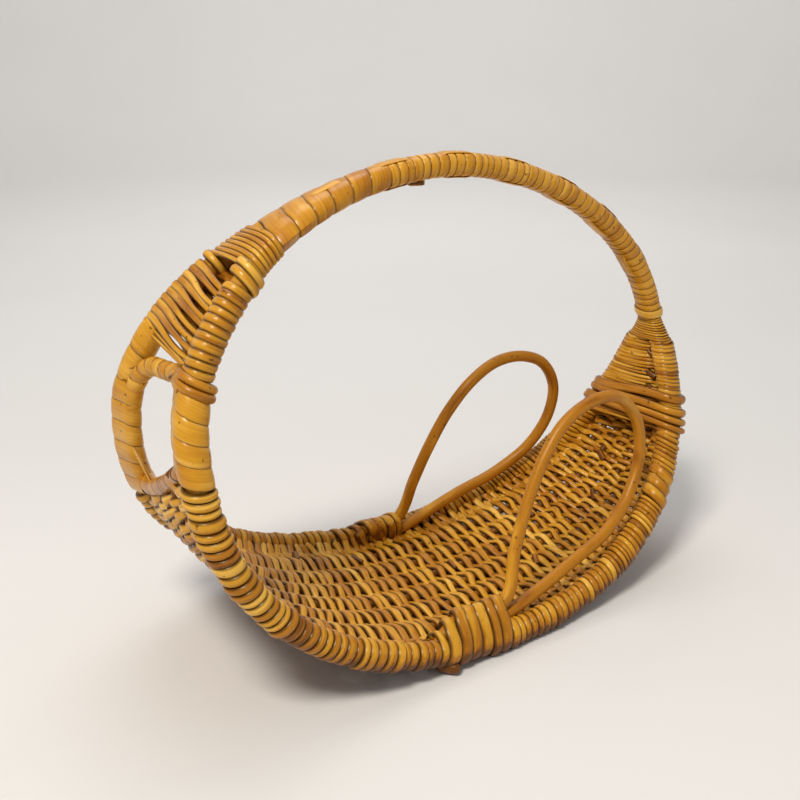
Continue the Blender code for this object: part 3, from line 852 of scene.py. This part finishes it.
def make_left_fork():
    """Binding, web and loose ends where the hoops part at the neck end."""
    binding = Piece()
    centres, widths = spread_bands(HANDLE_END, 500.2, 2.2 * MM, 0.15)
    rows = turns(hull(both_rods), -1, centres, widths * 1.05, 1.9 * MM, steps=30, lift=-0.8 * MM)
    binding.sweep(lay(rows), WILLOW, 0.27)
    binding.build("left_fork_binding", FORK, "fork_willow", "left_fork_wrap")
    web = Piece()
    centres, widths = spread_bands(498.6, 502.4, 4.3 * MM, 0.05)
    web.sweep(lay(turns(hull(one_rod(-1)), -1, centres, widths, 2.4 * MM, steps=24)), WILLOW, 0.35)
    centres = length_at(np.array([500.9]))
    web.sweep(lay(turns(hull(one_rod(1)), -1, centres, [3.6 * MM], 2.2 * MM, steps=24)), WILLOW, 0.1)
    for near, far in ((503.2, 500.6), (502.0, 501.4)):
        across = [(near + (far - near) * t, (2 * t - 1) * half_width(near), -2.6 * MM, 0, 1,
                   4.2 * MM, 2.2 * MM) for t in np.linspace(0, 1, 5)]
        web.sweep(lay(across), WILLOW, 0.7)
    near = evenly(503.8, 521.4, LEFT_WEB_TURNS)
    far = evenly(502.4, 517.6, LEFT_WEB_TURNS)
    widths = rng.uniform(3.3, 4.0, LEFT_WEB_TURNS) * MM
    figure_eight(web, near, far, widths, 1.5 * MM, 0.3, waist=0.88, relief=0.25)
    for start, slant in ((518.6, 3.0), (519.8, 2.2)):
        loose = [(start + slant * t, (0.88 - 1.6 * t) * half_width(start), (1.8 - 0.8 * t) * MM, 0, 1,
                  1.6 * MM, 1.5 * MM) for t in np.linspace(0, 1, 7)]
        web.sweep(lay(loose), WILLOW, 0.35)
    web.build("left_fork_weave", FORK, "fork_willow", "left_fork_web")


def make_right_fork():
    """Binding, web and thick strands where the hoops part at the other end."""
    binding = Piece()
    centres, widths = spread_bands(362.2, 369.9, 1.25 * MM, 0.2)
    rows = turns(hull(both_rods), -1, centres, widths * 1.06, 1.6 * MM, steps=26, lift=-0.2 * MM)
    binding.sweep(lay(rows, 0.9 * MM), WILLOW, 0.35)
    binding.build("right_fork_binding", FORK, "fork_willow", "right_fork_wrap")
    web = Piece()
    near = evenly(339.0, 361.9, RIGHT_WEB_TURNS)[::-1]
    far = evenly(337.8, 361.9, RIGHT_WEB_TURNS)[::-1]
    widths = rng.uniform(2.0, 3.2, RIGHT_WEB_TURNS) * MM
    figure_eight(web, near, far, widths, 1.6 * MM, 0.4, waist=0.82, relief=0.4)
    for angle, share, size in ((352.6, -0.45, 3.6), (357.8, -0.35, 2.4), (349.6, -0.3, 2.4)):
        stub = [(angle + 0.5 * t, (share + 0.16 * t) * half_width(angle), (-2.4 - 0.6 * t) * MM, 0, -1,
                 size * MM, size * 0.8 * MM) for t in np.linspace(-1, 1, 5)]
        web.sweep(lay(stub), WILLOW, 1.1, blunt=0.9)
    web.build("right_fork_weave", FORK, "fork_willow", "right_fork_web")
    thick = Piece()
    taut = hull(both_rods)
    for near, far, size, tone in THICK_STRANDS:
        rows = []
        for direction in np.linspace(*THICK_SWEEP, 40):
            share = (taut(near, direction, -1, THICK_LIFT)[0] / half_width(near) + 1) / 2
            angle = near + (far - near) * np.clip(share, 0, 1)
            rows.append((angle, *taut(angle, direction, -1, THICK_LIFT), size * MM, 2.9 * MM))
        thick.sweep(lay(rows), WILLOW, tone)
    thick.build("thick_strands", THICK, "thick_willow", "thick_wrap")


# ---------------------------------------------------------------- posts and neck ring

def make_posts():
    """Wide strips round each post and the ring's leg beside it."""
    for name, side, start, end, pitch, lift, tone in POST_STRIPS:
        wrap = Piece()
        centres, widths = spread_bands(start, end, pitch, 0.08)
        wide_bands(wrap, hull(post(side)), centres, widths * 1.05, 0.85 * MM, tone, steps=48, lift=lift)
        if side > 0:
            centres, widths = spread_bands(158.4, 174.4, 17 * MM, 0.05)
            wide_bands(wrap, hull(one_rod(1)), centres, widths * 1.06, 0.9 * MM, 0.22, steps=48,
                       lift=0.4 * MM)
        else:
            knot = length_at(np.array([163.2, 165.2]))
            rows = turns(hull(post(side)), side, knot, [3.6 * MM, 3.6 * MM], 3.2 * MM, 10, -60, 30)
            wrap.sweep(lay(rows), WILLOW, 0.5)
        wrap.build(f"{name}_post_bands", STRIP, "skein", f"{name}_post_wrap")


def ring_path():
    """Closed path of the neck ring through its rounded corners."""
    knots = []
    for index, (angle, share, down, reach) in enumerate(RING_CORNERS):
        other = RING_CORNERS[(index + 1) % 4] if index in (0, 2) else RING_CORNERS[index - 1]
        leg = (angle + down, share)
        bar = (angle + (other[0] - angle) * (1 - reach) / 2, share * reach)
        start, finish = (leg, bar) if index in (0, 2) else (bar, leg)
        for t in np.linspace(0, 1, 9):
            knots.append([(1 - t) ** 2 * s + 2 * t * (1 - t) * c + t ** 2 * f
                          for s, c, f in zip(start, (angle, share), finish)])
        following = RING_CORNERS[(index + 1) % 4]
        if index in (1, 3):
            last = following[0] + following[2]
            knots += [(a, share) for a in np.linspace(leg[0], last, 8)[1:-1]]
        else:
            end_bar = (following[0] + (angle - following[0]) * (1 - following[3]) / 2,
                       following[1] * following[3])
            knots += [[bar[k] + (end_bar[k] - bar[k]) * t for k in (0, 1)]
                      for t in np.linspace(0, 1, 6)[1:-1]]
    return np.array([spot(np.array(a), s * ring_reach(np.array(a))) for a, s in knots])


def make_ring():
    """The neck ring with its wrapped bars, and the ends and lashings at its corners."""
    ring = Piece()
    path = ring_path()
    ring.sweep(rod(path, RING_RADIUS), ROD, 0.4, closed=True)
    coil(ring, path[RING_TOP_COIL], RING_RADIUS + COIL_LIFT, 6.4 * MM, 6.3 * MM, 1.2 * MM, 0.3)
    end = [(RING_BOTTOM_NEAR + 3.6 + 0.6 * t, -0.44 * half_width(185.5), (1.0 + 2.2 * t) * MM, 0, 1,
            5.0 * MM, 5.0 * MM) for t in np.linspace(-1, 1, 5)]
    ring.sweep(lay(end), WILLOW, 1.2, blunt=0.85)
    for layer in (0.0, 1.0, 2.0):
        turned = []
        for t in np.linspace(-1, 1, 9):
            angle = 186.0 + 0.35 * layer + (2.6 + 0.5 * layer) * (1 - t * t) ** 0.5 * 0.7
            turned.append((angle, (-0.62 + 0.26 * t) * half_width(angle), 2.6 * MM, 0, 1,
                           1.5 * MM, 1.5 * MM))
        ring.sweep(lay(turned), WILLOW, 0.3)
    coil(ring, path[RING_BOTTOM_COIL], RING_RADIUS + COIL_LIFT, 11.5 * MM, 10.5 * MM, 1.0 * MM, 0.38)
    for offset in (0.0, 1.1):
        loose = [(188.6 + offset + 8.0 * t, (0.73 - 0.33 * t - 0.05 * sin(pi * t)) * half_width(192.0),
                  1.2 * MM, 0, 1, 1.5 * MM, 1.3 * MM) for t in np.linspace(0, 1, 7)]
        ring.sweep(lay(loose), WILLOW, 0.25)
    for first, last in LASHINGS:
        lashing = []
        for t in np.linspace(0, 1, 6):
            angle, share, out = (a + (b - a) * t for a, b in zip(first, last))
            lashing.append((angle, share * half_width(angle), (out + 1.4 * sin(pi * t)) * MM, 0, 1,
                            3.4 * MM, 1.4 * MM))
        ring.sweep(lay(lashing), WILLOW, 0.45)
    ring.build("neck_ring_wrapped", STRIP, "ring_rod", "neck_ring")


# ---------------------------------------------------------------- loops

def make_loops():
    """Rattan rods that hold the bottle."""
    for name, side in (("near", -1), ("far", 1)):
        start, end = LOOP_BOUND[side]
        bound = evenly(start + 1.5, end, 6)
        leaving = angle_at(length_at(end) + LOOP_RADIUS)

        def on_rim(angle, leg, rise=0.0):
            y, out, _ = leg_circle(angle, side, leg)
            return spot(angle, y, out - rise)

        route = [on_rim(a, LOWER_LEG) for a in bound] + [on_rim(leaving, LOWER_LEG, 0.8 * MM)]
        route += [np.array((x, side * y, z)) * MM for x, y, z in LOOP_ROUTE[side]]
        route += [on_rim(leaving, UPPER_LEG, 2.5 * MM)] + [on_rim(a, UPPER_LEG) for a in bound[::-1]]
        radii = np.full(len(route), LOOP_RADIUS)
        radii[[0, -1]] *= 0.5
        loop = Piece()
        loop.sweep(smooth(rod(route, radii), 1.6 * MM), ROD, 0.5)
        if side < 0:
            tail = np.linspace(TAIL_START, TAIL_END, 5) * MM
            girth = LOOP_RADIUS * np.array(TAIL_GIRTH)
            loop.sweep(smooth(rod(tail, girth), 1.0 * MM), ROD, 1.2, blunt=0.6)
        loop.build(f"rattan_loop_{name}", CANE, "rattan", f"loop_{name}")


# ---------------------------------------------------------------- studio

FLOOR_SIDES = 64
WALL_START, WALL_BEND, WALL_TOP = 1.5, 0.6, 1.3
AIM = (0, 0, 0.08)
# Lamps: name, position, point it faces, size, watts, colour
LAMPS = (("key", (-0.6, -0.35, 1.1), AIM, 0.3, 11.5, (1.0, 0.95, 0.87)),
         ("side", (0.95, -0.45, 0.7), AIM, 0.5, 0.6, (1.0, 0.97, 0.93)),
         ("top", (0.2, 0.45, 1.1), AIM, 0.7, 3.6, (0.97, 0.98, 1.0)),
         ("wall", (0.5, 0.8, 1.2), (1.1, 1.7, 0.5), 0.8, 8.0, (1.0, 1.0, 1.0)))
SKY = (0.93, 0.96, 1.0, 1)
SKY_STRENGTH = 0.31

# Camera, from the perspective fit
VIEW_AZIMUTH, VIEW_ELEVATION, VIEW_ROLL = radians(-33.06), radians(19.87), radians(0.15)
VIEW_TARGET = (-0.0218, 0, 0.1008)
VIEW_DISTANCE = 0.462
LENS_MM, SENSOR_MM = 47.2, 36


def make_floor():
    """Pale floor that curves up all round."""
    steps = np.linspace(0, pi / 2, 14)
    wall = WALL_START + WALL_BEND
    radii = np.concatenate([[0.3, 0.7, 1.1], WALL_START + WALL_BEND * np.sin(steps), [wall]])
    heights = np.concatenate([[0, 0, 0], WALL_BEND * (1 - np.cos(steps)), [WALL_TOP]])
    around = np.linspace(0, 2 * pi, FLOOR_SIDES, endpoint=False)
    points = [(0, 0, 0)] + [(r * cos(a), r * sin(a), z) for r, z in zip(radii, heights) for a in around]
    sides = [(k, (k + 1) % FLOOR_SIDES) for k in range(FLOOR_SIDES)]
    faces = [(0, 1 + k, 1 + after) for k, after in sides]
    for ring in range(len(radii) - 1):
        low = 1 + ring * FLOOR_SIDES
        high = low + FLOOR_SIDES
        faces += [(low + k, high + k, high + after, low + after) for k, after in sides]
    mesh = bpy.data.meshes.new("floor")
    mesh.from_pydata(points, [], faces)
    mesh.polygons.foreach_set("use_smooth", np.ones(len(mesh.polygons), bool))
    floor = bpy.data.objects.new("floor", mesh)
    bpy.context.scene.collection.objects.link(floor)
    paper = bpy.data.materials.new("pale_floor")
    paper.use_nodes = True
    tree = paper.node_tree
    shader = tree.nodes["Principled BSDF"]
    place = node(tree, "ShaderNodeNewGeometry")
    ramp = node(tree, "ShaderNodeValToRGB", {"Fac": noise(tree, place.outputs["Position"], 3.0, 3.0)})
    ramp.color_ramp.elements[0].color = (0.74, 0.72, 0.69, 1)
    ramp.color_ramp.elements[1].color = (0.80, 0.78, 0.76, 1)
    tree.links.new(ramp.outputs["Color"], shader.inputs["Base Color"])
    shader.inputs["Roughness"].default_value = 0.75
    mesh.materials.append(paper)


def make_lights():
    """Soft light all round and the lamps."""
    world = bpy.data.worlds.new("studio")
    bpy.context.scene.world = world
    world.use_nodes = True
    background = world.node_tree.nodes["Background"]
    background.inputs["Color"].default_value = SKY
    background.inputs["Strength"].default_value = SKY_STRENGTH
    for name, position, toward, size, power, colour in LAMPS:
        data = bpy.data.lights.new(name, "AREA")
        data.size, data.energy, data.color = size, power, colour
        lamp = bpy.data.objects.new(name, data)
        lamp.location = position
        lamp.rotation_mode = "QUATERNION"
        lamp.rotation_quaternion = (Vector(toward) - Vector(position)).to_track_quat("-Z", "Y")
        bpy.context.scene.collection.objects.link(lamp)


def make_camera():
    """Camera at the photograph's viewing angle."""
    back = Vector((sin(VIEW_AZIMUTH) * cos(VIEW_ELEVATION), -cos(VIEW_AZIMUTH) * cos(VIEW_ELEVATION),
                   sin(VIEW_ELEVATION)))
    data = bpy.data.cameras.new("camera")
    data.lens, data.sensor_width = LENS_MM, SENSOR_MM
    data.clip_start = 0.01
    camera = bpy.data.objects.new("camera", data)
    camera.location = Vector(VIEW_TARGET) + back * VIEW_DISTANCE
    camera.rotation_mode = "QUATERNION"
    look = (-back).to_track_quat("-Z", "Y")
    camera.rotation_quaternion = look @ Quaternion((0, 0, 1), VIEW_ROLL)
    bpy.context.scene.collection.objects.link(camera)
    bpy.context.scene.camera = camera


make_camera()
make_floor()
make_lights()
make_rods()
make_weave()
make_handle()
make_leaders()
make_left_fork()
make_right_fork()
make_posts()
make_ring()
make_loops()
bpy.context.scene.view_settings.view_transform = "Standard"

bpy.context.view_layer.update()
